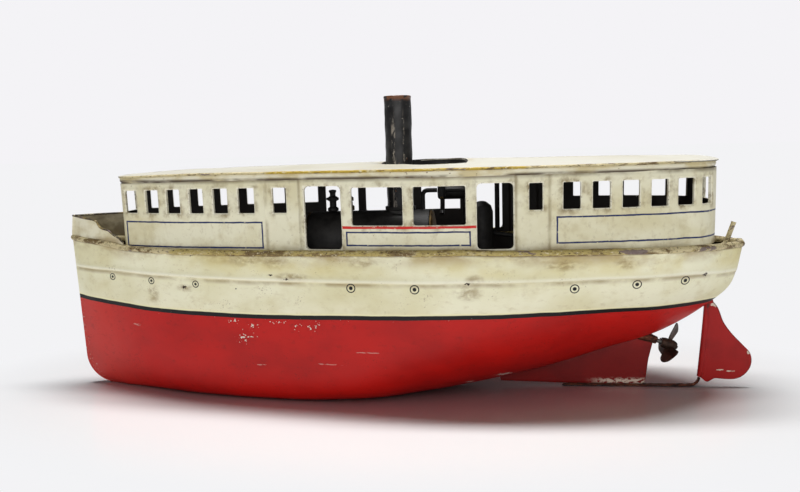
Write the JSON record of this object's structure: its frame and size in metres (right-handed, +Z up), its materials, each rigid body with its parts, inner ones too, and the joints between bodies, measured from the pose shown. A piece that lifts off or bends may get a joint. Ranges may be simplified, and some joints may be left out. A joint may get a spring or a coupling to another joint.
{
  "type": "toy steamboat",
  "caption": "Tinplate live-steam toy ferry boat: keeled hull, lift-off windowed cabin and crowned roof, tall stack, oscillating engine, propeller shaft and swinging rudder.",
  "frame": {"origin": "on the centreline, under the middle of the overall length, at the level of the flat keel bottom", "axes": "+X towards the stern, +Y to starboard, +Z up"},
  "size_m": [0.4078, 0.1022, 0.1716],
  "materials": {
    "hull_red": "gloss enamel, worn",
    "cream_paint": "satin enamel, aged",
    "roof_white": "satin enamel",
    "worn_gold": "worn gold lacquer",
    "stove_black": "stove enamel",
    "aged_brass": "tarnished",
    "dark_bronze": "dark patina",
    "dull_steel": "dull",
    "bare_tin": "tinned",
    "rusty_strip": "rusted"
  },
  "bodies": {
    "hull": {"hull_port_shell": "hull_red", "hull_starboard_shell": "hull_red", "skeg_plate": "hull_red", "bulwark_port": "cream_paint", "bulwark_starboard": "cream_paint", "flagstaff_socket": "cream_paint", "gunwale_bead": "worn_gold", "foredeck": "worn_gold", "afterdeck": "worn_gold", "boiler_barrel": "stove_black", "stack_tube": "stove_black", "stack_foot_ring": "stove_black", "exhaust_can": "stove_black", "engine_bed": "stove_black", "boiler_front_cap": "aged_brass", "boiler_rear_cap": "aged_brass", "safety_valve_seat": "aged_brass", "steam_pipe_front": "aged_brass", "steam_pipe_rear": "aged_brass", "steam_cock_body": "aged_brass", "boiler_cradle_front": "dull_steel", "boiler_cradle_rear": "dull_steel", "engine_standard": "dull_steel", "engine_bearer_port": "dull_steel", "engine_bearer_starboard": "dull_steel", "rudder_trunk": "bare_tin", "heel_bar": "rusty_strip", "stern_tube": "rusty_strip"},
    "superstructure": {"cabin_port_wall": "cream_paint", "cabin_starboard_wall": "cream_paint", "cornice_band": "cream_paint", "roof_panel": "roof_white", "roof_bead": "worn_gold", "slot_lip": "roof_white"},
    "rudder": {"rudder_blade": "hull_red", "rudder_stock": "hull_red", "tiller_collar": "dull_steel"},
    "shaft_line": {"propeller_hub": "dark_bronze", "propeller_blade_1": "dark_bronze", "propeller_blade_2": "dark_bronze", "propeller_blade_3": "dark_bronze", "propeller_shaft": "dull_steel", "flywheel": "stove_black", "crank_disc": "dull_steel", "crank_pin": "dull_steel"},
    "cylinder": {"cylinder_barrel": "aged_brass", "cylinder_port_block": "aged_brass", "cylinder_pivot": "dull_steel"},
    "piston_set": {"piston": "dull_steel", "piston_rod": "dull_steel", "piston_rod_eye": "aged_brass"},
    "safety_plug": {"safety_valve_plug": "aged_brass"},
    "steam_cock": {"steam_cock_stem": "aged_brass", "steam_cock_lever": "stove_black"},
    "burner": {"burner_tank": "bare_tin", "burner_manifold": "bare_tin", "wick_tube_1": "aged_brass", "wick_tube_2": "aged_brass", "wick_tube_3": "aged_brass"},
    "filler_cap": {"burner_filler_cap": "aged_brass"}
  },
  "joints": [
    {"name": "cabin_lift", "type": "slide", "parent": "hull", "child": "superstructure", "axis": [0, 0, 1], "range_m": [0, 0.06]},
    {"name": "rudder_turn", "type": "hinge", "parent": "hull", "child": "rudder", "pos_m": [0.17556, 0, 0.003], "axis": [0.0663, 0, 0.9978], "range_deg": [-35, 35]},
    {"name": "shaft_spin", "type": "hinge", "parent": "hull", "child": "shaft_line", "pos_m": [0.15756, 0, 0.025], "axis": [0.9397, 0, -0.342], "continuous": true},
    {"name": "cylinder_rock", "type": "hinge", "parent": "hull", "child": "cylinder", "pos_m": [0.09615, 0, 0.08141], "axis": [-0.9397, 0, 0.342], "range_deg": [-10.8, 10.8]},
    {"name": "piston_stroke", "type": "slide", "parent": "cylinder", "child": "piston_set", "axis": [0.342, 0, 0.9397], "range_m": [-0.012, 0]},
    {"name": "safety_valve_lift", "type": "slide", "parent": "hull", "child": "safety_plug", "axis": [0, 0, 1], "range_m": [0, 0.002]},
    {"name": "steam_cock_turn", "type": "hinge", "parent": "hull", "child": "steam_cock", "pos_m": [0.02856, 0, 0.122], "axis": [0, 0, 1], "range_deg": [0, 90]},
    {"name": "burner_pull", "type": "slide", "parent": "hull", "child": "burner", "axis": [-1, 0, 0], "range_m": [0, 0.02]},
    {"name": "filler_cap_lift", "type": "slide", "parent": "burner", "child": "filler_cap", "axis": [0, 0, 1], "range_m": [0, 0.008]}
  ]
}
